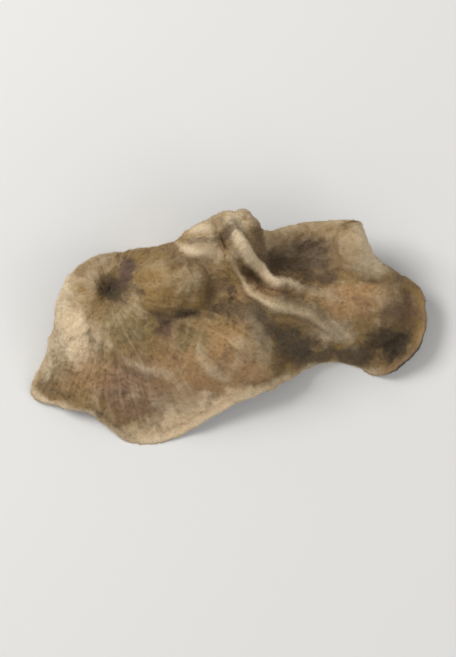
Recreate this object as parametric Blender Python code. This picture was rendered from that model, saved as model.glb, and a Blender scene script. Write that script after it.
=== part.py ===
"""One dried wood ear mushroom, lying felt side up as it came to rest.

The ear is one brittle sheet under a millimetre thick. It grew as a shallow cup and dried into a
humped, folded shape with its margin rolled. X runs along the ear, Y across it and Z up from the
surface it lies on. The lists below are drawn in millimetres. The finished ear is scaled to LENGTH
and built in metres.
"""

import math
from dataclasses import dataclass

import bmesh
import bpy
import numpy as np
from mathutils import Euler, Vector, noise
from mathutils.geometry import delaunay_2d_cdt
from mathutils.kdtree import KDTree

MM = 0.001

# Driving dimensions, in millimetres
LENGTH = 41.0  # tip to tip
FLESH = 0.9  # thickness of the sheet in the middle
MARGIN_FLESH = 0.6  # thickness of the sheet at its margin
EDGE = 0.3  # how far in from the margin its rounded edge reaches
PRESSED = 0.35  # how far the lowest folds are pressed flat where they rest
SPACING = 0.6  # between neighbouring points of the sheet

FELT_COLOUR = (0.309, 0.216, 0.120, 1.0)
FELT_ROUGHNESS = 0.85

CENTRE = np.array([2.5, 1.5])  # the flattened ear is measured along lines from here
ATTACHMENT = np.array([-12.1, 3.4])  # where the ear was joined to the wood
PIT_DEPTH = 2.6  # the pit that the attachment left
PIT_WIDTH = (1.5, 1.6)  # in x and in y

# The margin of the flattened ear, anticlockwise from the right end: x, y, height of the sheet
# where its edge begins to turn, degrees it turns (above 0 up and over, below 0 down and under)
# and width of the turned strip
MARGIN = [
    (20.6, 1.0, 3.4, 95, 3.0),
    (19.8, 3.9, 4.6, 50, 2.4),
    (17.9, 5.9, 5.4, -40, 1.8),
    (15.9, 7.5, 6.8, -75, 1.8),
    (15.1, 9.6, 7.0, -80, 1.8),
    (13.7, 11.3, 7.2, -50, 1.8),
    (10.4, 10.9, 6.0, -45, 1.8),
    (6.9, 10.4, 5.6, -40, 1.8),
    (4.1, 9.9, 7.2, -60, 1.8),
    (2.9, 11.2, 8.4, -75, 1.8),
    (1.5, 12.5, 8.8, -75, 1.8),
    (-0.7, 12.8, 8.4, -80, 1.8),
    (-2.9, 12.2, 7.0, -80, 1.8),
    (-5.0, 11.1, 5.2, -80, 2.0),
    (-6.6, 10.0, 3.0, -60, 2.0),
    (-9.2, 9.0, 1.5, -40, 2.0),
    (-11.9, 8.0, 2.2, -50, 1.4),
    (-14.6, 7.3, 3.6, -60, 1.2),
    (-17.8, 5.3, 4.6, -85, 1.8),
    (-19.8, 0.9, 4.4, -90, 2.2),
    (-20.4, -3.4, 3.0, -60, 2.2),
    (-21.0, -6.8, 1.2, 20, 2.0),
    (-19.4, -7.9, 1.4, 40, 2.0),
    (-17.5, -8.6, 2.6, 20, 2.0),
    (-15.5, -9.1, 3.2, -30, 2.0),
    (-13.4, -10.4, 2.6, -20, 2.0),
    (-11.4, -11.7, 1.4, 20, 2.0),
    (-9.0, -12.2, 0.9, 45, 2.0),
    (-6.2, -11.5, 1.3, 55, 2.0),
    (-3.4, -10.0, 2.6, 55, 2.0),
    (0.1, -8.2, 3.8, 50, 1.8),
    (3.6, -6.9, 4.2, 40, 1.8),
    (6.2, -5.7, 4.0, 10, 1.8),
    (9.0, -4.5, 3.0, -40, 1.8),
    (12.4, -4.0, 1.7, -20, 2.0),
    (15.3, -4.4, 1.0, 60, 2.6),
    (18.2, -3.8, 1.3, 125, 3.4),
    (20.4, -1.6, 2.2, 130, 3.6),
]

# Heights of the sheet inside the margin: x, y, z
HUMPS = [
    (-16.0, 0.4, 6.8),  # left shoulder
    (-14.6, 3.2, 6.6),
    (-16.4, -3.8, 4.6),
    (-13.0, 0.2, 7.8),
    (-9.6, 3.6, 8.6),  # dome beside the attachment
    (-6.6, 6.2, 8.2),
    (-5.8, 3.0, 8.9),
    (-9.4, -1.0, 8.4),
    (-13.6, -5.2, 5.0),  # lower left cheek
    (-10.6, -7.4, 4.4),
    (-6.8, -7.0, 5.2),
    (-6.0, -3.2, 7.8),
    (-4.6, 1.2, 6.8),  # hollow under the crest
    (0.2, 1.5, 6.8),
    (-2.6, -1.7, 8.4),  # flat facet below the hollow
    (1.2, -1.4, 8.6),
    (0.6, -4.4, 6.4),
    (3.9, -2.6, 5.4),  # steep slope right of the facet
    (5.4, -2.6, 4.3),
    (7.6, -1.6, 4.4),
    (-1.4, 5.0, 9.0),  # foot of the crest
    (-3.6, 8.2, 7.6),
    (0.8, 7.6, 9.6),
    (4.6, 3.4, 9.0),
    (8.4, 2.0, 7.8),
    (4.2, 6.9, 4.7),  # pocket of the wing
    (9.6, 7.2, 5.2),
    (7.8, 5.4, 4.3),
    (13.4, 8.6, 8.0),  # wing
    (13.6, 6.4, 7.8),
    (12.4, 3.6, 7.4),
    (15.8, 4.6, 6.4),
    (17.2, 1.4, 4.0),
    (12.6, -0.4, 4.4),
    (15.8, -1.4, 2.2),
]


@dataclass
class Fold:
    """A crest (rise above 0) or a groove (below 0) pressed into the sheet along a path."""

    path: list
    rise: float
    width: float
    lean: tuple = (0.0, 0.0)  # how far the top of the fold leans over, in x and y


FOLDS = [
    Fold(  # the crest's upper line
        [(0.2, 10.1), (0.6, 9.1), (1.0, 7.6), (2.2, 5.9), (3.9, 4.6), (6.4, 4.1), (10.0, 3.0)],
        rise=2.8, width=0.65, lean=(0.4, 0.5),
    ),
    Fold(  # the crest's lower line
        [(0.3, 6.8), (1.4, 4.6), (3.0, 3.1), (5.4, 2.0), (7.8, 1.4), (9.8, 0.0), (12.9, -2.3)],
        rise=2.3, width=0.65, lean=(-0.2, -0.3),
    ),
    Fold([(0.9, 6.5), (2.3, 4.8), (4.2, 3.6), (7.4, 3.0)], rise=-1.2, width=0.5),  # between them
    Fold([(-0.4, 9.3), (-0.3, 8.4), (0.1, 7.6)], rise=-1.3, width=0.5),  # beside the upper line
    Fold([(2.3, 0.6), (3.1, -1.6), (3.1, -4.8)], rise=1.6, width=0.8, lean=(0.4, 0.0)),  # facet
    Fold([(-2.8, -3.3), (-0.8, -5.0), (1.2, -3.4)], rise=0.45, width=0.6),
    Fold(  # cheek
        [(-13.0, -1.2), (-10.8, -2.9), (-8.8, -4.2), (-7.0, -4.6), (-5.2, -5.8), (-3.6, -7.2)],
        rise=0.5, width=0.7,
    ),
    Fold([(-4.6, 8.0), (-2.6, 6.2), (-2.0, 3.6), (-3.0, 1.6)], rise=-1.3, width=0.8),  # dome
    Fold(  # ripples above the dome
        [(-6.0, 8.6), (-4.4, 7.9), (-3.2, 7.4), (-1.0, 7.5)],
        rise=1.4, width=0.6,
    ),
    Fold([(-4.2, 9.4), (-3.0, 10.0), (-1.1, 10.2)], rise=1.2, width=0.6),
    Fold([(-16.4, 2.6), (-16.0, -0.8), (-15.6, -3.6)], rise=0.6, width=1.0),  # left shoulder
    Fold([(13.0, 10.2), (14.2, 7.0), (17.2, 5.2)], rise=1.0, width=0.9),  # wing
    Fold([(11.8, 5.4), (13.6, 4.6), (16.4, 4.9), (17.8, 5.4)], rise=-0.7, width=0.6),
]
CREST_ROUNDNESS = 0.9  # radius of a fold's top, as a share of its width
FOLD_BEGIN = 0.35  # how high a fold is where its path begins
FOLD_END = 0.1  # and where it ends
FOLD_TIP = 0.04  # share of its path that counts as its very end
QUICK, SLOW = 0.5, 0.8  # powers that a fold rises by where it begins and dies out by at its end

# Wrinkles that fan out from the attachment: how crowded, how high, and where they begin and end
FANS = [(4.5, 0.24, 0.5, 15.0), (9.0, 0.16, 8.0, 20.0)]
FAN_BEGINS = 4.0  # length over which such a wrinkle rises
FAN_ENDS = 6.0  # length over which it dies out
FAN_WANDER = 0.11  # how fast it changes along its length
CRUMPLE = 0.22  # height of the small irregular folds
CRUMPLE_SIZE = 2.6  # how far apart they are
ASKEW = Euler((0.6, 0.9, 0.4)).to_matrix()  # turns the noise, so that no wrinkle follows an axis
RIDGE_TOP = 0.5  # height of the ridges of the wrinkle noise
RIDGE_SLOPE = 2.2  # how steeply they fall to the hollows
RIDGE_SWAY = 0.5  # how far they stray
RIDGE_SWAY_PACE = 0.6  # how quickly that changes
NOISE_SEED = 1  # the same seed gives the same wrinkles
MARGIN_CALM = 0.45  # share of the wrinkles that is left at the margin
CALM_WIDTH = 2.0  # width of the calmer margin
CREST_CALM = 0.75  # share of the wrinkles that a sharp fold pulls straight

FEET = [(-9.2, 8.4), (-8.5, -11.5), (15.5, -4.0)]  # the folds that the ear lies on
FOOT_REACH = 4.0  # the lowest point of each is this near
LEVELLINGS = 3  # how often the ear is levelled, because the lowest points shift a little

CURVE_STEPS = 12  # points on a curve from each point of its path to the next
SHORT_STEP = 0.1  # over which slopes are measured
LEAST_TURN = 0.01  # in radians: a straighter margin is turned this much, so that no arc is endless
SKIN_EASE = 0.5  # distance over which the direction of the skins is evened out
CLEAR = 0.65  # points of the mesh stay this share of SPACING apart


def unit(vectors):
    """Vectors of the same directions, one long."""
    return vectors / np.maximum(np.linalg.norm(vectors, axis=-1, keepdims=True), 1e-9)


def bearing_of(flat):
    """Direction of points of the flat ear from its centre, in radians."""
    return np.arctan2(flat[:, 1] - CENTRE[1], flat[:, 0] - CENTRE[0])


def reach_of(flat):
    """Distance of points of the flat ear from its centre."""
    return np.linalg.norm(flat - CENTRE, axis=1)


def spline(points):
    """Points along a smooth curve through the second of the given points to the last but one."""
    p = np.array(points, float)
    t = np.linspace(0, 1, CURVE_STEPS, endpoint=False)[:, None]
    runs = [
        b + 0.5 * t * (c - a + t * (2 * a - 5 * b + 4 * c - d + t * (3 * (b - c) + d - a)))
        for a, b, c, d in zip(p, p[1:], p[2:], p[3:])
    ]
    return np.vstack([*runs, p[-2:-1]])


def fold_line(fold):
    """Points along the whole path of a fold."""
    p = np.array(fold.path, float)
    return spline([2 * p[0] - p[1], *p, 2 * p[-1] - p[-2]])


def bent_plate(places):
    """The smoothest surface, like a thin bent plate, through places of x, y and height."""
    places = np.array(places, float)

    def pull(points):
        square = ((points[:, None, :2] - places[None, :, :2]) ** 2).sum(-1)
        return square * np.log(square + 1e-9)

    count = len(places)
    slope = np.column_stack([np.ones(count), places[:, :2]])
    system = np.block([[pull(places), slope], [slope.T, np.zeros((3, 3))]])
    weights = np.linalg.solve(system, np.concatenate([places[:, 2], np.zeros(3)]))
    bend, base, tilt = weights[:count], weights[count], weights[count + 1 :]
    return lambda points: pull(points) @ bend + base + points @ tilt


def beside(points, line):
    """Distance of each point from a line, and how far along the line, 0 to 1, it is nearest."""
    begins, run = line[:-1], np.diff(line, axis=0)
    t = np.clip(((points[:, None] - begins) * run).sum(-1) / (run**2).sum(-1), 0, 1)
    gap = np.linalg.norm(points[:, None] - (begins + t[..., None] * run), axis=-1)
    nearest = gap.argmin(1)
    rows = np.arange(len(points))
    return gap[rows, nearest], (nearest + t[rows, nearest]) / len(run)


class FlatEar:
    """The ear as if it were flattened out, and the way from there to its dried shape."""

    def __init__(self):
        stations = np.array(MARGIN, float)
        around = spline([stations[-1], *stations, *stations[:2]])[:-1]
        self.margin = around[:, :2]
        self.bearings = bearing_of(self.margin)
        self.reaches = reach_of(self.margin)
        self.turns = np.radians(around[:, 3])
        self.strips = around[:, 4]
        outward = unit(stations[:, :2] - CENTRE)
        turning = stations[:, :2] - outward * stations[:, 4:]
        self.plate = bent_plate(np.vstack([np.column_stack([turning, stations[:, 2]]), HUMPS]))

    def read(self, table, bearing):
        """One of the tables round the margin, read at given bearings."""
        return np.interp(bearing, self.bearings, table, period=2 * math.pi)

    def inward(self, flat):
        """How far in from the margin points of the flat ear are."""
        return self.read(self.reaches, bearing_of(flat)) - reach_of(flat)

    def creases(self, flat):
        """How strongly each fold is felt at points of the flat ear, from 0 to 1."""
        strengths = []
        for fold in FOLDS:
            gap, along = beside(flat, fold_line(fold))
            soft = CREST_ROUNDNESS * fold.width
            crest = np.exp((soft - np.hypot(gap, soft)) / fold.width)
            # a fold rises quickly where it begins and dies out slowly where it ends
            middle = np.sin(np.pi * np.clip(along, FOLD_TIP, 1 - FOLD_TIP))
            begin = FOLD_BEGIN + (1 - FOLD_BEGIN) * middle**QUICK
            end = FOLD_END + (1 - FOLD_END) * middle**SLOW
            strengths.append(crest * np.where(along < 0.5, begin, end))
        return strengths

    def folded(self, flat):
        """The bent plate with its folds, whose crests lean, and the pit of the attachment."""
        height = self.plate(flat)
        height -= PIT_DEPTH * np.exp(-(((flat - ATTACHMENT) / PIT_WIDTH) ** 2).sum(axis=1))
        shift = np.zeros((len(flat), 2))
        for fold, strength in zip(FOLDS, self.creases(flat)):
            height += fold.rise * strength
            shift += np.outer(strength**2, fold.lean)
        return np.column_stack([flat + shift, height])

    def dried(self, flat):
        """Where points of the flat ear are once it has folded and its margin has turned."""
        bearing, reach = bearing_of(flat), reach_of(flat)
        strip = self.read(self.strips, bearing)
        turning = self.read(self.reaches, bearing) - strip

        def folded_at(bearing, reach):
            toward = np.column_stack([np.cos(bearing), np.sin(bearing)])
            return self.folded(CENTRE + toward * reach[:, None])

        start = folded_at(bearing, np.minimum(reach, turning))
        outward = unit(start - folded_at(bearing, turning - SHORT_STEP))
        onward = folded_at(bearing + SHORT_STEP / turning, turning) - start
        up = unit(np.cross(outward, onward))
        turn = self.read(self.turns, bearing)
        turn = np.where(np.abs(turn) < LEAST_TURN, LEAST_TURN, turn)
        bend = turn * np.maximum(reach - turning, 0) / strip
        out = outward * (strip * np.sin(bend) / turn)[:, None]
        over = up * (strip * (1 - np.cos(bend)) / turn)[:, None]
        return start + out + over


def leftward(line):
    """Directions to the left of a line, at each of its points."""
    along = unit(np.gradient(line, axis=0))
    return np.column_stack([-along[:, 1], along[:, 0]])


def evenly(line, spacing):
    """Points spread evenly along a line."""
    run = np.concatenate([[0], np.cumsum(np.linalg.norm(np.diff(line, axis=0), axis=1))])
    places = np.linspace(0, run[-1], round(run[-1] / spacing), endpoint=False)
    return np.column_stack([np.interp(places, run, line[:, k]) for k in (0, 1)])


def drawn_points(ear, spacing):
    """Points on the margin, along its rounded edge and in three rows along every fold, and how
    many of them are on the margin. Those come first."""
    outline = np.vstack([ear.margin, ear.margin[:1]])
    rim = evenly(outline, spacing)
    points = np.vstack([rim, evenly(outline + EDGE * leftward(outline), spacing)])
    for side in (0, -1, 1):
        for fold in FOLDS:
            row = evenly(fold_line(fold), spacing)
            row = row + side * spacing * leftward(row)
            gap = np.linalg.norm(row[:, None] - points, axis=-1).min(axis=1)
            points = np.vstack([points, row[(gap > CLEAR * spacing) & (ear.inward(row) > EDGE)]])
    return points, len(rim)


def flat_mesh(ear, spacing):
    """Points spread over the flat ear, its triangles, and how many of the points are on its
    margin. Those come first."""
    drawn, rim = drawn_points(ear, spacing)
    tree = KDTree(len(drawn))
    for k, point in enumerate(drawn):
        tree.insert((*point, 0), k)
    tree.balance()
    low, high = ear.margin.min(axis=0), ear.margin.max(axis=0)
    x = np.arange(low[0], high[0], spacing)
    y = np.arange(low[1], high[1], spacing * math.sqrt(0.75))
    grid = np.stack(np.meshgrid(x, y), axis=-1)
    grid[1::2, :, 0] += spacing / 2
    grid = grid.reshape(-1, 2)
    grid = grid[ear.inward(grid) > EDGE]
    gap = np.array([tree.find((*point, 0))[2] for point in grid])
    flat = np.vstack([drawn, grid[gap > CLEAR * spacing]])
    triangles = delaunay_2d_cdt([Vector(p) for p in flat], [], [list(range(rim))], 1, 1e-6)[2]
    return flat, np.array(triangles), rim


def smoothed(values, triangles, distance, spacing):
    """Values at the points of a mesh, averaged with their neighbours' over a distance."""
    pairs = np.vstack([triangles[:, [0, 1]], triangles[:, [1, 2]], triangles[:, [2, 0]]])
    pairs = np.vstack([pairs, pairs[:, ::-1]])
    count = np.bincount(pairs[:, 0], minlength=len(values))[:, None]
    for _ in range(math.ceil(2 * (distance / spacing) ** 2)):
        total = np.zeros_like(values)
        np.add.at(total, pairs[:, 0], values[pairs[:, 1]])
        values = total / count
    return values


def facing_of(points, triangles):
    """The direction that the surface faces at each point."""
    a, b, c = (points[triangles[:, k]] for k in range(3))
    facing = np.cross(b - a, c - a)
    total = np.zeros_like(points)
    for k in range(3):
        np.add.at(total, triangles[:, k], facing)
    return unit(total)


def ridged(place):
    """Noise as a crumpled sheet has it: rounded hollows between narrow ridges, from -0.6 to 0.5."""
    place = ASKEW @ Vector(place)
    place += RIDGE_SWAY * noise.noise_vector(RIDGE_SWAY_PACE * place)
    return RIDGE_TOP - RIDGE_SLOPE * abs(noise.noise(place))


def wrinkles(points, flat):
    """Height of the wrinkles that fan out from the attachment and of the small folds."""
    away = flat - ATTACHMENT
    reach = np.linalg.norm(away, axis=1)
    toward = unit(away)
    heights = np.array([CRUMPLE * ridged(point / CRUMPLE_SIZE) for point in points])
    for crowding, height, begin, end in FANS:
        risen = np.clip((reach - begin) / FAN_BEGINS, 0, 1)
        left = np.clip((end - reach) / FAN_ENDS, 0, 1)
        fan = [ridged((*(crowding * t), FAN_WANDER * r)) for t, r in zip(toward, reach)]
        heights += height * risen * left * np.array(fan)
    return heights


def lay_down(skins):
    """Levels the three folds that the ear lies on, and presses them flat on the surface."""
    for _ in range(LEVELLINGS):
        points = np.vstack(skins)
        lowest = []
        for foot in FEET:
            near = points[np.linalg.norm(points[:, :2] - foot, axis=1) < FOOT_REACH]
            lowest.append(near[near[:, 2].argmin()])
        lowest = np.array(lowest)
        plane = np.linalg.solve(np.column_stack([lowest[:, :2], np.ones(3)]), lowest[:, 2])
        for skin in skins:
            skin[:, 2] -= skin[:, :2] @ plane[:2] + plane[2]
    floor = min(skin[:, 2].min() for skin in skins) + PRESSED
    for skin in skins:
        skin[:, 2] = np.maximum(skin[:, 2] - floor, 0)


def ear_skins(spacing):
    """The felted upper skin and the smooth lower one in metres, their triangles, and how many of
    their points are on the margin."""
    ear = FlatEar()
    flat, triangles, rim = flat_mesh(ear, spacing)
    middle = ear.dried(flat)
    inward = ear.inward(flat)
    thickness = FLESH + (MARGIN_FLESH - FLESH) * reach_of(flat) / (reach_of(flat) + inward)
    thickness *= np.sqrt(1 - np.clip(1 - inward / EDGE, 0, 1) ** 2)
    thickness[:rim] = 0
    lift = wrinkles(middle, flat) * np.clip(inward / CALM_WIDTH, MARGIN_CALM, 1)
    lift *= 1 - CREST_CALM * np.max(ear.creases(flat), axis=0)
    facing = unit(smoothed(facing_of(middle, triangles), triangles, SKIN_EASE, spacing))
    upper = middle + facing * (lift + thickness / 2)[:, None]
    lower = middle + facing * (lift - thickness / 2)[:, None]
    lay_down([upper, lower])
    both = np.vstack([upper, lower])
    low, high = both.min(axis=0), both.max(axis=0)
    origin = np.array([(low[0] + high[0]) / 2, (low[1] + high[1]) / 2, 0])
    scale = LENGTH * MM / (high[0] - low[0])
    return (upper - origin) * scale, (lower - origin) * scale, triangles, rim


def closed_mesh(name, upper, lower, triangles, rim):
    """One closed mesh from two skins that share the points of the margin."""
    bm = bmesh.new()
    top = [bm.verts.new(point) for point in upper]
    bottom = top[:rim] + [bm.verts.new(point) for point in lower[rim:]]
    for a, b, c in triangles:
        bm.faces.new([top[a], top[b], top[c]])
        bm.faces.new([bottom[a], bottom[c], bottom[b]])
    mesh = bpy.data.meshes.new(name)
    bm.to_mesh(mesh)
    bm.free()
    mesh.shade_smooth()
    return mesh


def felt():
    """The dull tan felt of the upper side."""
    material = bpy.data.materials.new("tan_felt")
    material.use_nodes = True
    shader = material.node_tree.nodes["Principled BSDF"]
    shader.inputs["Base Color"].default_value = FELT_COLOUR
    shader.inputs["Roughness"].default_value = FELT_ROUGHNESS
    shader.inputs["Metallic"].default_value = 0.0
    return material


def build_ear(spacing):
    """The whole ear: it grew as one piece, so it is one object."""
    mesh = closed_mesh("wood_ear", *ear_skins(spacing))
    mesh.materials.append(felt())
    ear = bpy.data.objects.new("wood_ear", mesh)
    bpy.context.scene.collection.objects.link(ear)
    return ear


for old in list(bpy.data.objects):
    bpy.data.objects.remove(old)
noise.seed_set(NOISE_SEED)
build_ear(SPACING)
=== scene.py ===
# %% [markdown]
# A dried wood ear mushroom
#
# This lesson dresses one dried wood ear, about 41 mm long, for a close photograph. A wood ear is
# a fungus that grows as a thin rubbery cup on dead wood. As it dries, it shrinks to a brittle
# sheet under a millimetre thick, tan and felted on one side and nearly black on the other.
#
# A plain solid of it exists already. It is loaded here as a fixed frame, and the lesson then
# makes the fine sheet that stands in its place, in metres and with Z up.

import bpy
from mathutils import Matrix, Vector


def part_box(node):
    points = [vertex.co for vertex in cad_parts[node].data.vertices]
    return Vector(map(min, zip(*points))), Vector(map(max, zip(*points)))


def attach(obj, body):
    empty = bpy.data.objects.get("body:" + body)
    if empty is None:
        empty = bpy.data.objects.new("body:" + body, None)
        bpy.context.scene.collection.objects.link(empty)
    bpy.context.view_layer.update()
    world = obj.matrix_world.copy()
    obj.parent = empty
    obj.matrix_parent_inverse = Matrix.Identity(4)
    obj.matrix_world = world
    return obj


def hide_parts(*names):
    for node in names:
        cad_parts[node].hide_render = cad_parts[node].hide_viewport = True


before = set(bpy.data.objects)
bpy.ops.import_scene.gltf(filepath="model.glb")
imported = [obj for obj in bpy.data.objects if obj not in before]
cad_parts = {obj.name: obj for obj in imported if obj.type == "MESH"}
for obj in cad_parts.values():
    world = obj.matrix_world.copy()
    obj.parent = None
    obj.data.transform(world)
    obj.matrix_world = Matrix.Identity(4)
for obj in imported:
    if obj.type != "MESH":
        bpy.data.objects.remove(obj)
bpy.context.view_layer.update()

# %% [markdown]
# Everything else comes from Blender and numpy. Numpy works on all the points of the sheet at
# once, which matters with 35,000 of them.

# %% Import the tools
import math
from dataclasses import dataclass

import bpy
import numpy as np
from mathutils import Euler, Vector, noise
from mathutils.geometry import delaunay_2d_cdt
from mathutils.kdtree import KDTree

# %% [markdown]
# The outline of the ear
#
# Such a sheet could be sculpted by hand, or simulated as shrinking cloth. Both are hard to steer
# towards one given ear. Here the ear is drawn as if it were pressed flat, and then folded by
# rules, so that each fold stays where it is put.
#
# The margin is a closed curve through a few stations. Each gives a place in millimetres, the
# height of the sheet where its edge begins to turn, how far the edge then turns, and over what
# width. An edge with more than 0 degrees curls up and over, and one with less turns down.

# %% Draw the margin
CENTRE = np.array([2.5, 1.5])  # the flattened ear is measured along lines from here
MARGIN = [
    (20.6, 1.0, 3.4, 95, 3.0),
    (19.8, 3.9, 4.6, 50, 2.4),
    (17.9, 5.9, 5.4, -40, 1.8),
    (15.9, 7.5, 6.8, -75, 1.8),
    (15.1, 9.6, 7.0, -80, 1.8),
    (13.7, 11.3, 7.2, -50, 1.8),
    (10.4, 10.9, 6.0, -45, 1.8),
    (6.9, 10.4, 5.6, -40, 1.8),
    (4.1, 9.9, 7.2, -60, 1.8),
    (2.9, 11.2, 8.4, -75, 1.8),
    (1.5, 12.5, 8.8, -75, 1.8),
    (-0.7, 12.8, 8.4, -80, 1.8),
    (-2.9, 12.2, 7.0, -80, 1.8),
    (-5.0, 11.1, 5.2, -80, 2.0),
    (-6.6, 10.0, 3.0, -60, 2.0),
    (-9.2, 9.0, 1.5, -40, 2.0),
    (-11.9, 8.0, 2.2, -50, 1.4),
    (-14.6, 7.3, 3.6, -60, 1.2),
    (-17.8, 5.3, 4.6, -85, 1.8),
    (-19.8, 0.9, 4.4, -90, 2.2),
    (-20.4, -3.4, 3.0, -60, 2.2),
    (-21.0, -6.8, 1.2, 20, 2.0),
    (-19.4, -7.9, 1.4, 40, 2.0),
    (-17.5, -8.6, 2.6, 20, 2.0),
    (-15.5, -9.1, 3.2, -30, 2.0),
    (-13.4, -10.4, 2.6, -20, 2.0),
    (-11.4, -11.7, 1.4, 20, 2.0),
    (-9.0, -12.2, 0.9, 45, 2.0),
    (-6.2, -11.5, 1.3, 55, 2.0),
    (-3.4, -10.0, 2.6, 55, 2.0),
    (0.1, -8.2, 3.8, 50, 1.8),
    (3.6, -6.9, 4.2, 40, 1.8),
    (6.2, -5.7, 4.0, 10, 1.8),
    (9.0, -4.5, 3.0, -40, 1.8),
    (12.4, -4.0, 1.7, -20, 2.0),
    (15.3, -4.4, 1.0, 60, 2.6),
    (18.2, -3.8, 1.3, 125, 3.4),
    (20.4, -1.6, 2.2, 130, 3.6),
]
print("the margin has", len(MARGIN), "stations")

# %% [markdown]
# The heights inside
#
# Inside the margin a few places of x, y and height say how the sheet is humped. The highest is
# the foot of the crest, right beside the low pocket of the wing, and the lowest is at the right
# end.

# %% Draw the humps
HUMPS = [
    (-16.0, 0.4, 6.8),  # left shoulder
    (-14.6, 3.2, 6.6),
    (-16.4, -3.8, 4.6),
    (-13.0, 0.2, 7.8),
    (-9.6, 3.6, 8.6),  # dome beside the attachment
    (-6.6, 6.2, 8.2),
    (-5.8, 3.0, 8.9),
    (-9.4, -1.0, 8.4),
    (-13.6, -5.2, 5.0),  # lower left cheek
    (-10.6, -7.4, 4.4),
    (-6.8, -7.0, 5.2),
    (-6.0, -3.2, 7.8),
    (-4.6, 1.2, 6.8),  # hollow under the crest
    (0.2, 1.5, 6.8),
    (-2.6, -1.7, 8.4),  # flat facet below the hollow
    (1.2, -1.4, 8.6),
    (0.6, -4.4, 6.4),
    (3.9, -2.6, 5.4),  # steep slope right of the facet
    (5.4, -2.6, 4.3),
    (7.6, -1.6, 4.4),
    (-1.4, 5.0, 9.0),  # foot of the crest
    (-3.6, 8.2, 7.6),
    (0.8, 7.6, 9.6),
    (4.6, 3.4, 9.0),
    (8.4, 2.0, 7.8),
    (4.2, 6.9, 4.7),  # pocket of the wing
    (9.6, 7.2, 5.2),
    (7.8, 5.4, 4.3),
    (13.4, 8.6, 8.0),  # wing
    (13.6, 6.4, 7.8),
    (12.4, 3.6, 7.4),
    (15.8, 4.6, 6.4),
    (17.2, 1.4, 4.0),
    (12.6, -0.4, 4.4),
    (15.8, -1.4, 2.2),
]
print("the sheet passes through", len(HUMPS), "heights")

# %% [markdown]
# The folds
#
# A drying sheet buckles into a few sharp folds. Each fold here is a path across the flat ear
# with a height and a width. The first two are the sinuous double crest that gives this ear its
# look, and their tops lean over to either side.

# %% Draw the folds
@dataclass
class Fold:
    """A crest (rise above 0) or a groove (below 0) pressed into the sheet along a path."""

    path: list
    rise: float
    width: float
    lean: tuple = (0.0, 0.0)  # how far the top of the fold leans over, in x and y
    pinched: float = 1.0  # share of its width that the fold has on the felted side
    # the pale top is partly wear and partly a painted highlight
    wear_and_highlight: float = 0.0  # how pale its top has been rubbed, from 0 to 1


FOLDS = [
    Fold(  # the crest's upper line
        [(0.2, 10.1), (0.6, 9.1), (1.2, 7.6), (2.5, 6.0), (4.0, 4.7), (6.4, 4.1), (10.0, 3.0)],
        rise=2.8, width=0.65, lean=(0.4, 0.5), pinched=0.5, wear_and_highlight=0.9,
    ),
    Fold(  # the crest's lower line
        [(0.3, 6.8), (1.4, 4.6), (3.0, 3.1), (5.4, 2.0), (7.8, 1.4), (9.8, 0.0), (12.9, -2.3)],
        rise=2.3, width=0.65, lean=(-0.2, -0.3), pinched=0.5, wear_and_highlight=0.3,
    ),
    Fold([(0.9, 6.5), (2.3, 4.8), (4.2, 3.6), (7.4, 3.0)], rise=-0.9, width=0.5),  # between them
    Fold([(-0.4, 9.3), (-0.3, 8.4), (0.1, 7.6)], rise=-1.3, width=0.5),  # beside the upper line
    Fold(  # right edge of the facet
        [(2.3, 0.6), (3.1, -1.6), (3.1, -4.8)],
        rise=1.6, width=0.8, lean=(0.4, 0.0), pinched=0.8,
    ),
    Fold(  # dent in the facet
        [(-2.8, -3.3), (-0.8, -5.0), (1.2, -3.4)],
        rise=0.45, width=0.6, pinched=0.8, wear_and_highlight=0.3,
    ),
    Fold(  # upper edge of the facet
        [(-5.7, -2.0), (-5.6, 0.0), (-3.6, 0.5), (0.6, 0.5)],
        rise=0.5, width=0.5, pinched=0.8, wear_and_highlight=0.2,
    ),
    Fold(  # cheek
        [(-13.0, -1.2), (-10.8, -2.9), (-8.8, -4.2), (-7.0, -4.6), (-5.2, -5.8), (-3.6, -7.2)],
        rise=0.5, width=0.7, pinched=0.8, wear_and_highlight=0.25,
    ),
    Fold([(-4.6, 8.0), (-2.6, 6.2), (-2.0, 3.6), (-3.0, 1.6)], rise=-1.3, width=0.8),  # dome
    Fold(  # ripples above the dome
        [(-6.0, 8.6), (-4.4, 7.9), (-3.2, 7.4), (-1.0, 7.5)],
        rise=1.4, width=0.6, pinched=0.7, wear_and_highlight=0.5,
    ),
    Fold([(-4.2, 9.4), (-3.0, 10.0), (-1.1, 10.2)], rise=1.2, width=0.6, pinched=0.7, wear_and_highlight=0.6),
    Fold([(-16.4, 2.6), (-16.0, -0.8), (-15.6, -3.6)], rise=0.6, width=1.0),  # left shoulder
    Fold(  # wing
        [(13.0, 10.2), (14.2, 7.0), (17.2, 5.2)],
        rise=1.0, width=0.9, pinched=0.6, wear_and_highlight=0.5,
    ),
    Fold([(11.8, 5.4), (13.6, 4.6), (16.4, 4.9), (17.8, 5.4)], rise=-0.7, width=0.6),
]
CREST_ROUNDNESS = 0.9  # radius of a fold's top, as a share of its width
FOLD_BEGIN = 0.35  # how high a fold is where its path begins
FOLD_END = 0.1  # and where it ends
FOLD_TIP = 0.04  # share of its path that counts as its very end
QUICK, SLOW = 0.5, 0.8  # powers that a fold rises by where it begins and dies out by at its end
print("the sheet has", len(FOLDS), "folds")

# %% [markdown]
# A smooth curve
#
# Both the margin and the folds need a smooth curve through given points. Blender's own curve
# objects could do it, but a Catmull-Rom curve is one line of arithmetic, and it also carries the
# other numbers of a station along with its place.

# %% Curves through points
CURVE_STEPS = 12  # points on a curve from each point of its path to the next


def unit(vectors):
    """Vectors of the same directions, one long."""
    return vectors / np.maximum(np.linalg.norm(vectors, axis=-1, keepdims=True), 1e-9)


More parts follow.
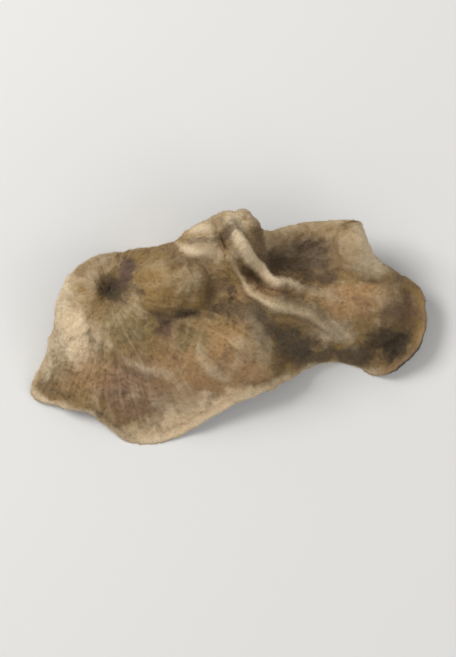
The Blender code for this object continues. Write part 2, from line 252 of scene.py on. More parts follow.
def spline(points):
    """Points along a smooth curve through the second of the given points to the last but one."""
    p = np.array(points, float)
    t = np.linspace(0, 1, CURVE_STEPS, endpoint=False)[:, None]
    runs = [
        b + 0.5 * t * (c - a + t * (2 * a - 5 * b + 4 * c - d + t * (3 * (b - c) + d - a)))
        for a, b, c, d in zip(p, p[1:], p[2:], p[3:])
    ]
    return np.vstack([*runs, p[-2:-1]])


def fold_line(fold):
    """Points along the whole path of a fold."""
    p = np.array(fold.path, float)
    return spline([2 * p[0] - p[1], *p, 2 * p[-1] - p[-2]])


print("the first crest is drawn with", len(fold_line(FOLDS[0])), "points")

# %% [markdown]
# A bent plate
#
# Between the given heights the sheet has to take the shape that costs it the least bending, as a
# thin springy plate would. A thin plate spline is exactly that: a sum of one bump for each given
# place, weighted so that the surface passes through them all.

# %% The plate through all heights
def bent_plate(places):
    """The smoothest surface, like a thin bent plate, through places of x, y and height."""
    places = np.array(places, float)

    def pull(points):
        square = ((points[:, None, :2] - places[None, :, :2]) ** 2).sum(-1)
        return square * np.log(square + 1e-9)

    count = len(places)
    slope = np.column_stack([np.ones(count), places[:, :2]])
    system = np.block([[pull(places), slope], [slope.T, np.zeros((3, 3))]])
    weights = np.linalg.solve(system, np.concatenate([places[:, 2], np.zeros(3)]))
    bend, base, tilt = weights[:count], weights[count], weights[count + 1 :]
    return lambda points: pull(points) @ bend + base + points @ tilt


# %% [markdown]
# How strongly a fold is felt
#
# A fold is highest on its own line and fades to both sides. So each point of the sheet needs its
# distance from the line, and how far along the line it lies, because a fold also dies out
# towards its ends.
#
# On the felted side a fold also strays a little from its path, by noise. Blender's vector noise
# begins somewhere else at each start of Blender, unless it is given a seed. With one, the lesson
# gives the same ear every time.

# %% Distance from a fold
def beside(points, line):
    """Distance of each point from a line, and how far along the line, 0 to 1, it is nearest."""
    begins, run = line[:-1], np.diff(line, axis=0)
    t = np.clip(((points[:, None] - begins) * run).sum(-1) / (run**2).sum(-1), 0, 1)
    gap = np.linalg.norm(points[:, None] - (begins + t[..., None] * run), axis=-1)
    nearest = gap.argmin(1)
    rows = np.arange(len(points))
    return gap[rows, nearest], (nearest + t[rows, nearest]) / len(run)


FOLD_SWAY = 0.45  # how far a pinched fold strays from its path
FOLD_SWAY_SIZE = 2.4  # and over what length
NOISE_SEED = 1  # the same seed gives the same wrinkles
noise.seed_set(NOISE_SEED)


def swayed(flat):
    """Points of the flat ear, moved about a little, which makes the lines between them uneven."""
    shifts = [noise.noise_vector(Vector((*point, 0)) / FOLD_SWAY_SIZE)[:2] for point in flat]
    return flat + FOLD_SWAY * np.array(shifts)


def strength_of(fold, flat, share=1.0):
    """How strongly a fold of this share of its width is felt at points of the flat ear, 0 to 1."""
    gap, along = beside(flat, fold_line(fold))
    width = share * fold.width
    soft = CREST_ROUNDNESS * width
    crest = np.exp((soft - np.hypot(gap, soft)) / width)
    middle = np.sin(np.pi * np.clip(along, FOLD_TIP, 1 - FOLD_TIP))
    begin = FOLD_BEGIN + (1 - FOLD_BEGIN) * middle**QUICK
    end = FOLD_END + (1 - FOLD_END) * middle**SLOW
    return crest * np.where(along < 0.5, begin, end)


# %% [markdown]
# Folding the flat ear
#
# This class holds the flat ear and the way from there to the dried one. A point first gets its
# height from the plate, the folds and the pit where the ear was joined to the wood. If it lies
# in the strip along the margin, it is then carried round an arc, so that the edge curls.
#
# A real margin isn't a smooth curve. It is nibbled and chipped on a scale of half a millimetre,
# so its reach is varied a little with noise.

# %% The flat ear
ATTACHMENT = np.array([-12.1, 3.4])  # where the ear was joined to the wood
PIT_DEPTH = 2.6
PIT_WIDTH = (1.5, 1.6)  # across and along
SHORT_STEP = 0.1  # over which slopes are measured
LEAST_TURN = 0.01  # in radians: a straighter margin is turned this much, so that no arc is endless
NIBBLES = [(1.6, 0.20), (0.55, 0.10)]  # size and depth of the unevenness of the margin
RIM_STEP = 0.1  # between the points that the uneven margin is drawn with


def bearing_of(flat):
    """Direction of points of the flat ear from its centre, in radians."""
    return np.arctan2(flat[:, 1] - CENTRE[1], flat[:, 0] - CENTRE[0])


def reach_of(flat):
    """Distance of points of the flat ear from its centre."""
    return np.linalg.norm(flat - CENTRE, axis=1)


def evenly(line, spacing):
    """Points spread evenly along a line, with all the numbers that they carry."""
    run = np.concatenate([[0], np.cumsum(np.linalg.norm(np.diff(line[:, :2], axis=0), axis=1))])
    places = np.linspace(0, run[-1], round(run[-1] / spacing), endpoint=False)
    return np.column_stack([np.interp(places, run, column) for column in line.T])


class FlatEar:
    """The ear as if it were flattened out, and the way from there to its dried shape."""

    def __init__(self):
        stations = np.array(MARGIN, float)
        around = evenly(spline([stations[-1], *stations, *stations[:2]]), RIM_STEP)
        outward = unit(around[:, :2] - CENTRE)
        for size, depth in NIBBLES:
            bites = [noise.noise(Vector((*point[:2], 0)) / size) for point in around]
            around[:, :2] += outward * (depth * np.array(bites))[:, None]
        self.margin = around[:, :2]
        self.bearings = bearing_of(self.margin)
        self.reaches = reach_of(self.margin)
        self.turns = np.radians(around[:, 3])
        self.strips = around[:, 4]
        outward = unit(stations[:, :2] - CENTRE)
        turning = stations[:, :2] - outward * stations[:, 4:]
        self.plate = bent_plate(np.vstack([np.column_stack([turning, stations[:, 2]]), HUMPS]))

    def read(self, table, bearing):
        """One of the tables round the margin, read at given bearings."""
        return np.interp(bearing, self.bearings, table, period=2 * math.pi)

    def inward(self, flat):
        """How far in from the margin points of the flat ear are."""
        return self.read(self.reaches, bearing_of(flat)) - reach_of(flat)

    def folded(self, flat, pinched):
        """The bent plate with its folds, pinched or not, and with the pit of the attachment."""
        height = self.plate(flat)
        height -= PIT_DEPTH * np.exp(-(((flat - ATTACHMENT) / PIT_WIDTH) ** 2).sum(axis=1))
        shift = np.zeros((len(flat), 2))
        felt = swayed(flat) if pinched else flat
        for fold in FOLDS:
            strength = strength_of(fold, felt, fold.pinched if pinched else 1.0)
            height += fold.rise * strength
            shift += np.outer(strength**2, fold.lean)
        return np.column_stack([flat + shift, height])

    def dried(self, flat, pinched=False):
        """Where points of the flat ear are once it has folded and its margin has turned."""
        bearing, reach = bearing_of(flat), reach_of(flat)
        strip = self.read(self.strips, bearing)
        turning = self.read(self.reaches, bearing) - strip

        def folded_at(bearing, reach):
            toward = np.column_stack([np.cos(bearing), np.sin(bearing)])
            return self.folded(CENTRE + toward * reach[:, None], pinched)

        start = folded_at(bearing, np.minimum(reach, turning))
        outward = unit(start - folded_at(bearing, turning - SHORT_STEP))
        onward = folded_at(bearing + SHORT_STEP / turning, turning) - start
        up = unit(np.cross(outward, onward))
        turn = self.read(self.turns, bearing)
        turn = np.where(np.abs(turn) < LEAST_TURN, LEAST_TURN, turn)
        bend = turn * np.maximum(reach - turning, 0) / strip
        out = outward * (strip * np.sin(bend) / turn)[:, None]
        over = up * (strip * (1 - np.cos(bend)) / turn)[:, None]
        return start + out + over


ear = FlatEar()
print("the margin is", round(RIM_STEP * len(ear.margin)), "mm round")

# %% [markdown]
# Triangles for the sheet
#
# The wrinkles are about half a millimetre across, so the sheet needs a point every 0.15 mm. A
# square grid would leave steps along the margin. Instead points are set on the margin itself,
# just inside it and in rows along each fold, and the rest is filled with a honeycomb. Delaunay
# triangulation then joins them with triangles that are as even as can be.

# %% Points and triangles
SPACING = 0.15  # between neighbouring points of the sheet
EDGE = 0.3  # how far in from the margin its rounded edge reaches
CLEAR = 0.65  # points stay this share of SPACING apart
ROW_STEP = math.sqrt(0.75)  # between the rows of a honeycomb, as a share of SPACING


def leftward(line):
    """Directions to the left of a line, at each of its points."""
    along = unit(np.gradient(line, axis=0))
    return np.column_stack([-along[:, 1], along[:, 0]])


def drawn_points():
    """Points on the margin, on its rounded edge and along the folds, and how many are on the
    margin. Those come first."""
    outline = np.vstack([ear.margin, ear.margin[:1]])
    rim = evenly(outline, SPACING)
    points = np.vstack([rim, evenly(rim + EDGE / 2 * leftward(rim), SPACING)])
    for side in (0, -1, 1):
        for fold in FOLDS:
            row = evenly(fold_line(fold), SPACING)
            row = row + side * SPACING * leftward(row)
            gap = np.linalg.norm(row[:, None] - points, axis=-1).min(axis=1)
            points = np.vstack([points, row[(gap > CLEAR * SPACING) & (ear.inward(row) > EDGE)]])
    return points, len(rim)


drawn, rim = drawn_points()
tree = KDTree(len(drawn))
for k, point in enumerate(drawn):
    tree.insert((*point, 0), k)
tree.balance()
low, high = ear.margin.min(axis=0), ear.margin.max(axis=0)
columns = np.arange(low[0], high[0], SPACING)
rows = np.arange(low[1], high[1], SPACING * ROW_STEP)
comb = np.stack(np.meshgrid(columns, rows), axis=-1)
comb[1::2, :, 0] += SPACING / 2
comb = comb.reshape(-1, 2)
comb = comb[ear.inward(comb) > CLEAR * SPACING]
gap = np.array([tree.find((*point, 0))[2] for point in comb])
flat = np.vstack([drawn, comb[gap > CLEAR * SPACING]])
triangles = delaunay_2d_cdt([Vector(p) for p in flat], [], [list(range(rim))], 1, 1e-6)[2]
triangles = np.array(triangles)
print(len(flat), "points and", len(triangles), "triangles on each side")

# %% [markdown]
# Averages over the sheet
#
# Two things need the mesh itself: the direction in which the surface faces, and averages over a
# small area. Averaging each point with its neighbours again and again spreads a value as heat
# spreads, so the number of rounds grows with the square of the distance.

# %% Facing and averages
pairs = np.vstack([triangles[:, [0, 1]], triangles[:, [1, 2]], triangles[:, [2, 0]]])
pairs = np.vstack([pairs, pairs[:, ::-1]])
neighbours = np.bincount(pairs[:, 0], minlength=len(flat))


def smoothed(values, distance):
    """Values at the points of the sheet, averaged over a distance in millimetres."""
    for _ in range(math.ceil(2 * (distance / SPACING) ** 2)):
        total = [np.bincount(pairs[:, 0], column[pairs[:, 1]], len(flat)) for column in values.T]
        values = np.column_stack(total) / neighbours[:, None]
    return values


def facing_of(points):
    """The direction that the surface faces at each point."""
    a, b, c = (points[triangles[:, k]] for k in range(3))
    facing = np.cross(b - a, c - a)
    corners, count = triangles.ravel(), len(flat)
    total = [np.bincount(corners, np.repeat(column, 3), count) for column in facing.T]
    return unit(np.column_stack(total))


print("each point has", round(neighbours.mean() / 2, 1), "neighbours")

# %% [markdown]
# The folded sheet
#
# Now the flat ear is folded, twice. The smooth skin below bends round a fold in a broad curve,
# but on the felted side the same fold is pinched into a narrow ridge. So the upper skin gets a
# folding of its own, with narrower folds, that turns into the other one towards the margin.

# %% Fold both sides
SKIN_EASE = 0.5  # distance over which the direction of the skins is evened out
BROAD_EASE = 1.0  # and that of the lower skin, which takes no notice of sharp folds
PINCH_BEGINS = 2.0  # distance from the margin over which the folds become pinched

middle = ear.dried(flat)
facing = unit(smoothed(facing_of(middle), SKIN_EASE))
inward = ear.inward(flat)
share = np.clip(inward / PINCH_BEGINS, 0, 1)[:, None]
felted = middle + (ear.dried(flat, pinched=True) - middle) * share
felt_facing = unit(facing + (unit(smoothed(facing_of(felted), SKIN_EASE / 2)) - facing) * share)
broad_facing = unit(facing + (unit(smoothed(facing, BROAD_EASE)) - facing) * share)
print("the folded sheet is", np.ptp(middle, axis=0).round(1), "mm")

# %% [markdown]
# Wrinkles
#
# The flesh shrinks most where it is thickest, at the attachment, and that gathers the sheet into
# wrinkles that run out from there like a fan. Elsewhere it is crumpled in all directions. Both
# come from noise that is folded at zero, which leaves narrow ridges between rounded hollows. For
# the fan the noise is read round the attachment instead of across the sheet, so that it is
# stretched along each line from there. Finer and finer copies are added, each of them lower.

# %% Wrinkle the sheet
FANS = [  # how crowded, how high, and where they begin and end
    (4.5, 0.22, 0.5, 15.0),
    (9.0, 0.11, 8.0, 17.0),
    (17.0, 0.08, 1.5, 26.0),
    (36.0, 0.05, 5.0, 34.0),
]
FAN_BEGINS = 4.0  # length over which such a wrinkle rises
FAN_ENDS = 6.0  # length over which it dies out
FAN_WANDER = 0.11  # how fast it changes along its length
FAN_SWAY = 0.12  # how far it sways from a straight line, in radians
SWAY_SIZE = 8.0  # over this length
CRUMPLES = [(2.6, 0.22), (1.15, 0.1), (0.55, 0.055)]  # how far apart, and how high
ASKEW = Euler((0.6, 0.9, 0.4)).to_matrix()  # turns the noise, so that no wrinkle follows an axis
RIDGE_TOP = 0.5  # height of the ridges of the wrinkle noise
RIDGE_SLOPE = 2.2  # how steeply they fall to the hollows
RIDGE_SWAY = 0.5  # how far they stray
RIDGE_SWAY_PACE = 0.6  # how quickly that changes
MARGIN_CALM = 0.45  # share of the wrinkles that is left at the margin
CALM_WIDTH = 2.0  # width of the calmer margin
CREST_CALM = 0.5  # share of the wrinkles that a sharp fold pulls straight


def ridged(place):
    """Noise as a crumpled sheet has it: rounded hollows between narrow ridges, from -0.6 to 0.5."""
    place = ASKEW @ Vector(place)
    place += RIDGE_SWAY * noise.noise_vector(RIDGE_SWAY_PACE * place)
    return RIDGE_TOP - RIDGE_SLOPE * abs(noise.noise(place))


away = flat - ATTACHMENT
distance = np.linalg.norm(away, axis=1)
sway = [noise.noise(Vector((*point, 0)) / SWAY_SIZE) for point in flat]
bearing = np.arctan2(away[:, 1], away[:, 0]) + FAN_SWAY * np.array(sway)
toward = np.column_stack([np.cos(bearing), np.sin(bearing)])
lift = np.zeros(len(flat))
for size, height in CRUMPLES:
    lift += height * np.array([ridged(point / size) for point in middle])
for crowding, height, begin, end in FANS:
    risen = np.clip((distance - begin) / FAN_BEGINS, 0, 1)
    left = np.clip((end - distance) / FAN_ENDS, 0, 1)
    fan = [ridged((*(crowding * t), FAN_WANDER * d)) for t, d in zip(toward, distance)]
    lift += height * risen * left * np.array(fan)
creased = np.max([strength_of(fold, flat) for fold in FOLDS], axis=0)
lift *= np.clip(inward / CALM_WIDTH, MARGIN_CALM, 1) * (1 - CREST_CALM * creased)
print("the wrinkles are from", lift.min().round(2), "to", lift.max().round(2), "mm high")

# %% [markdown]
# Two skins
#
# The felted upper side and the smooth lower side are the same sheet moved half its thickness
# each way. Blender's Solidify modifier could do this, but the thickness varies, and the two skins
# have to meet in a rounded edge. The felt is uneven by a few hundredths of a millimetre, which
# only the upper skin gets. The lower skin has low veins in place of it.

# %% Thickness and the two skins
FLESH = 0.9  # thickness of the sheet in the middle
MARGIN_FLESH = 0.55  # thickness of the sheet at its margin
CREST_THIN = 0.6  # share of the flesh above the middle that the crest has lost
FELT = [(0.32, 0.035), (0.17, 0.02)]  # size and height of the tufts of the felt
VEINS = (2.1, 0.09)  # size and height of the veins below

thickness = FLESH + (MARGIN_FLESH - FLESH) * reach_of(flat) / (reach_of(flat) + inward)
thickness *= np.sqrt(1 - np.clip(1 - inward / EDGE, 0, 1) ** 2)
thickness[:rim] = 0
settled = np.clip(inward / EDGE, 0, 1)
tufts = sum(high * np.array([noise.noise(p / size) for p in middle]) for size, high in FELT)
veins = VEINS[1] * np.array([ridged(point / VEINS[0]) for point in middle])
uneven = swayed(flat)
crest_lines = FOLDS[:2]
crest = np.max([strength_of(fold, uneven, fold.pinched) for fold in crest_lines], axis=0)
above = thickness / 2 * (1 - CREST_THIN * crest)
inside = felted + felt_facing * lift[:, None]
upper = inside + felt_facing * (above + tufts * settled)[:, None]
lower = inside - broad_facing * (thickness / 2 + veins * settled)[:, None]
print("the flesh is", thickness[inward > EDGE].min().round(2), "to", thickness.max().round(2), "mm")

# %% [markdown]
# Laying the ear down
#
# A loose ear lies on its three lowest folds. The sheet is tilted until they are level, and what
# would sink into the table is pressed flat, as a brittle edge settles. Then it is scaled to the
# length of the solid and centred over the origin, which also turns millimetres into metres.

# %% Lay it down at the size of the solid
FEET = [(-9.2, 8.4), (-8.5, -11.5), (15.5, -4.0)]  # the folds that the ear lies on
FOOT_REACH = 4.0  # the lowest point of each is this near
LEVELLINGS = 3  # how often the ear is levelled, because the lowest points shift a little
PRESSED = 0.35  # how far the lowest folds are pressed flat where they rest

for _ in range(LEVELLINGS):
    points = np.vstack([upper, lower])
    lowest = []
    for foot in FEET:
        near = points[np.linalg.norm(points[:, :2] - foot, axis=1) < FOOT_REACH]
        lowest.append(near[near[:, 2].argmin()])
    lowest = np.array(lowest)
    plane = np.linalg.solve(np.column_stack([lowest[:, :2], np.ones(3)]), lowest[:, 2])
    for skin in (upper, lower):
        skin[:, 2] -= skin[:, :2] @ plane[:2] + plane[2]
floor = min(upper[:, 2].min(), lower[:, 2].min()) + PRESSED
for skin in (upper, lower):
    skin[:, 2] = np.maximum(skin[:, 2] - floor, 0)
both = np.vstack([upper, lower])
low, high = both.min(axis=0), both.max(axis=0)
solid_low, solid_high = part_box("wood_ear")
scale = (solid_high.x - solid_low.x) / (high[0] - low[0])
origin = np.array([(low[0] + high[0]) / 2, (low[1] + high[1]) / 2, 0])
upper, lower = (upper - origin) * scale, (lower - origin) * scale
print("1 mm of the drawing is", round(1000 * scale, 3), "mm of the ear")

# %% [markdown]
# The mesh
#
# The two skins share the points of the margin, so the piece is one closed shell. Each point also
# keeps a few facts for the finishes: its place on the flat ear, how far it is from the margin,
# how high it stands over its surroundings, how near it is to the two lines of the crest and how
# pale the tops of the folds are, from wear and as a painted highlight. Because the flat ear is a
# perfect unwrapping, it serves as the UV map too, with the upper side in the top half and the
# lower side in the bottom half.

# %% Build the piece
BULGE_REACH = 0.9  # the surroundings that a point is compared with, in millimetres
MAP_EDGE = 0.01  # empty edge of each half of the UV map


def carry(mesh, name, values):
    """Makes the points of a mesh carry values, one number or one vector each."""
    kind, key = ("FLOAT", "value") if values.ndim == 1 else ("FLOAT_VECTOR", "vector")
    attribute = mesh.attributes.new(name, kind, "POINT")
    attribute.data.foreach_set(key, values.astype(np.float32).ravel())


def linked(name, data):
    """A new object with the given data, in the scene."""
    made = bpy.data.objects.new(name, data)
    bpy.context.scene.collection.objects.link(made)
    return made


bulge = (felted + felt_facing * lift[:, None] - smoothed(felted, BULGE_REACH)) * felt_facing
wear_and_highlight = [fold.wear_and_highlight * strength_of(fold, uneven, fold.pinched) ** 2 for fold in FOLDS]
facts = {"inward": inward, "bulge": bulge.sum(axis=1), "crest": crest, "wear_and_highlight": np.max(wear_and_highlight, 0)}

count = len(flat)
below = np.where(triangles < rim, triangles, triangles + count - rim)
mesh = bpy.data.meshes.new("dried_ear")
mesh.from_pydata(np.vstack([upper, lower[rim:]]), [], np.vstack([triangles, below[:, ::-1]]))
mesh.shade_smooth()
for name, values in facts.items():
    carry(mesh, name, np.concatenate([values, values[rim:]]))
plan = np.column_stack([flat, np.zeros(count)])
carry(mesh, "plan", np.vstack([plan, plan[rim:]]))
unwrapped = (flat - flat.min(axis=0)) / np.ptp(flat, axis=0)
lower_half = unwrapped * (1 - 2 * MAP_EDGE, 0.5 - 2 * MAP_EDGE) + MAP_EDGE
upper_half = lower_half + (0, 0.5)
corners = np.vstack([upper_half[triangles.ravel()], lower_half[triangles[:, ::-1].ravel()]])
mesh.uv_layers.new(name="OFBake").data.foreach_set("uv", corners.astype(np.float32).ravel())
side = np.repeat([0, 1], len(triangles)).astype(np.int32)
dried_ear = linked("dried_ear", mesh)
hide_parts("wood_ear")
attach(dried_ear, "root")
print("the ear has", len(mesh.polygons), "faces")

# %% [markdown]
# Felt hairs
#
# What makes the upper side look like felt and not like clay is its hairs. A hair system would
# grow them, but a system is lost when a piece is saved as a plain mesh. So each hair is a thin
# three-sided spike, and numpy makes all of them in one go. They start at random places of the
# upper skin and mostly lie flat, pointing away from the attachment.

# %% Grow the hairs
HAIRS = 60000
HAIR_LENGTH = (0.00012, 0.00034)  # shortest and longest, in metres
HAIR_WIDTH = 0.00004
HAIR_RISE = (0.1, 0.75)  # flattest and steepest angle to the skin, in radians
HAIR_STRAY = 0.7  # how far hairs point astray, in radians
HAIR_PALENESS = (0.3, 0.3, 0.3, 0.75)  # of the three points of its foot and of its tip
HAIR_POINTS = len(HAIR_PALENESS)
HAIR_SEED = 5  # picks the random places
ON_THE_MAP = 0.0022  # half the size of a hair on its UV map

rng = np.random.default_rng(HAIR_SEED)
corners = upper[triangles]
faces_up = np.cross(corners[:, 1] - corners[:, 0], corners[:, 2] - corners[:, 0])
area = np.linalg.norm(faces_up, axis=1)
picked = rng.choice(len(triangles), HAIRS, p=area / area.sum())
weights = rng.dirichlet((1, 1, 1), HAIRS)[:, :, None]
skin = triangles[picked]
root = (upper[skin] * weights).sum(axis=1)
flat_root = (flat[skin] * weights).sum(axis=1)
normal = unit(faces_up[picked])
stray = rng.normal(0, HAIR_STRAY, HAIRS)
away_from_pit = unit(flat_root - ATTACHMENT)
turned = np.column_stack([-away_from_pit[:, 1], away_from_pit[:, 0]])
heading = away_from_pit * np.cos(stray)[:, None] + turned * np.sin(stray)[:, None]
edges = (flat[skin][:, 1:] - flat[skin][:, :1]).transpose(0, 2, 1)
steps = np.linalg.solve(edges, heading[:, :, None])
lying = unit(((upper[skin][:, 1:] - upper[skin][:, :1]) * steps).sum(axis=1))
rise = rng.uniform(*HAIR_RISE, HAIRS)[:, None]
along = unit(lying * np.cos(rise) + normal * np.sin(rise))
across = unit(np.cross(along, normal))
over = np.cross(across, along)
tip = root + along * rng.uniform(*HAIR_LENGTH, HAIRS)[:, None]
foot = [
    root + HAIR_WIDTH / 2 * (math.cos(turn) * across + math.sin(turn) * over)
    for turn in (0, math.tau / 3, 2 * math.tau / 3)
]
points = np.stack([*foot, tip], axis=1).reshape(-1, 3)
points[:, 2] = np.maximum(points[:, 2], 0)
first = HAIR_POINTS * np.arange(HAIRS)[:, None, None]
spikes = (first + [[0, 1, 3], [1, 2, 3], [2, 0, 3]]).reshape(-1, 3)
hair_mesh = bpy.data.meshes.new("felt_hairs")
hair_mesh.from_pydata(points, [], spikes)
hair_mesh.shade_smooth()
for name, values in facts.items():
    at_root = (values[skin] * weights[:, :, 0]).sum(axis=1)
    carry(hair_mesh, name, np.repeat(at_root, HAIR_POINTS))
carry(hair_mesh, "paleness", np.tile(HAIR_PALENESS, HAIRS))
plan = np.column_stack([flat_root, np.zeros(HAIRS)])
carry(hair_mesh, "plan", np.repeat(plan, HAIR_POINTS, axis=0))
on_map = (flat_root - flat.min(axis=0)) / np.ptp(flat, axis=0) * (1 - 2 * MAP_EDGE) + MAP_EDGE
spread = ON_THE_MAP * np.array([(-1, -1), (1, -1), (0, 1)])
around_root = (np.repeat(on_map, 3, axis=0)[:, None] + spread).astype(np.float32)
hair_mesh.uv_layers.new(name="OFBake").data.foreach_set("uv", around_root.ravel())
felt_hairs = linked("felt_hairs", hair_mesh)
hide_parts("wood_ear")
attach(felt_hairs, "root")
print("the felt has", HAIRS, "hairs, and", round(HAIRS / (area.sum() / 2 * 1e6)), "to a mm2")

# %% [markdown]
# Writing shaders as sums
#
# A finish is a tree of nodes. Placing each Math node by hand is slow to write and hard to read,
# so a small class wraps the output of a node, and sums on it add the nodes. A sum of plain
# values uses a Math node. As soon as a colour or a vector takes part, it uses Vector Math,
# because a Math node would turn the colour grey.

# %% Wires and finishes
class Wire:
    """One output of a shader node, on which maths is written as on a number."""

    def __init__(self, finish, socket):
        self.finish = finish
        self.socket = socket

    def __add__(self, other):
        return self.finish.maths("ADD", self, other)

    __radd__ = __add__

    def __sub__(self, other):
        return self.finish.maths("SUBTRACT", self, other)

    def __rsub__(self, other):
        return self.finish.maths("SUBTRACT", other, self)

    def __mul__(self, other):
        return self.finish.maths("MULTIPLY", self, other)

    __rmul__ = __mul__

    def __truediv__(self, other):
        return self.finish.maths("DIVIDE", self, other)


class Finish:
    """A material whose nodes are added one by one, each with its settings and inputs."""

    def __init__(self, name):
        self.material = bpy.data.materials.new(name)
        self.material.use_nodes = True
        self.tree = self.material.node_tree
        self.shader = self.tree.nodes["Principled BSDF"]

    def fill(self, node, values):
        """Sets the inputs of a node to values or links them to wires."""
        for name, value in values.items():
            if isinstance(value, Wire):
                self.tree.links.new(value.socket, node.inputs[name])
            else:
                node.inputs[name].default_value = value

    def node(self, kind, settings, values, output=0):
        """Adds a node of a kind and returns one of its outputs."""
        made = self.tree.nodes.new("ShaderNode" + kind)
        for name, setting in settings.items():
            setattr(made, name, setting)
        self.fill(made, values)
        return Wire(self, made.outputs[output])

    def maths(self, operation, *terms):
        """Adds a Math node, or a Vector Math node where a colour or a vector takes part."""
        kinds = [getattr(getattr(t, "socket", None), "type", None) for t in terms]
        plain = all(k == "VALUE" or isinstance(t, (int, float)) for k, t in zip(kinds, terms))
        if plain:
            return self.node("Math", {"operation": operation}, dict(enumerate(terms)))
        terms = [(t, t, t) if isinstance(t, (int, float)) else t for t in terms]
        return self.node("VectorMath", {"operation": operation}, dict(enumerate(terms)))


# %% [markdown]
# A few helpers are enough for both sides of the ear: a fact that the mesh carries, a smooth step
# from 0 to 1, a mix of two colours, cloudy noise and the length of a vector. Colours are picked
# as they look on a screen and turned into the linear values that a shader works with.

# %% Helpers for both finishes
def paint(red, green, blue):
    """A colour as it looks on a screen, 0 to 255, in the linear values of a shader."""
    parts = [c / 255 for c in (red, green, blue)]
    return (*[c / 12.92 if c <= 0.04045 else ((c + 0.055) / 1.055) ** 2.4 for c in parts], 1.0)


def fact(finish, name, output="Fac"):
    """A value that the points of the mesh carry."""
    return finish.node("Attribute", {"attribute_name": name}, {}, output)


def step(finish, value, low, high):
    """0 where a value is below low, 1 where it is above high, and a smooth change between."""
    values = {"Value": value, "From Min": low, "From Max": high}
    return finish.node("MapRange", {"interpolation_type": "SMOOTHSTEP"}, values)


def mix(finish, share, first, second, way="MIX"):
    """The first colour, with a share of the second mixed in."""
    settings = {"data_type": "RGBA", "blend_type": way}
    return finish.node("Mix", settings, {0: share, 6: first, 7: second}, output=2)


def cloud(finish, place, scale, detail=3.0, output="Fac"):
    """Cloudy noise from 0 to 1, with a given number of clouds to a millimetre."""
    values = {"Vector": place, "Scale": scale, "Detail": detail}
    return finish.node("TexNoise", {}, values, output)


def length(finish, vector):
    """How long a vector is."""
    return finish.node("VectorMath", {"operation": "LENGTH"}, {0: vector}, "Value")


# %% [markdown]
# The felt: where it is what colour
#
# The upper side is covered with short matted hairs. Its colour isn't even: weathered felt is
# cream, thick felt is golden tan, and where it is thin the dark flesh shows through and makes it
# brown or slightly purple. The broad patches of this ear are drawn one by one on the flat sheet,
# with an edge that noise breaks up, so that they look grown and not painted. Some of them are
# not the felt's own colour. The cream ones on the raised rims are painted highlights, the dark
# ones behind the crest and in the pocket of the wing are painted shade, and an orange one is
# painted light in the groove of the crest.

# %% Colour patches of the felt
TAN = paint(146, 121, 87)
GOLDEN = paint(148, 120, 74)
CREAM = paint(210, 191, 160)
STRAW = paint(236, 211, 174)
ROSY = paint(150, 118, 97)
ORANGE = paint(176, 140, 98)
OLIVE = paint(138, 122, 84)
UMBER = paint(97, 79, 59)
# a greyed brown, painted shade in the pocket of the wing
POCKET_SHADE = paint(130, 114, 96)
WINE = paint(88, 64, 58)
DUSK = paint(76, 67, 56)
PITCH = paint(54, 46, 38)

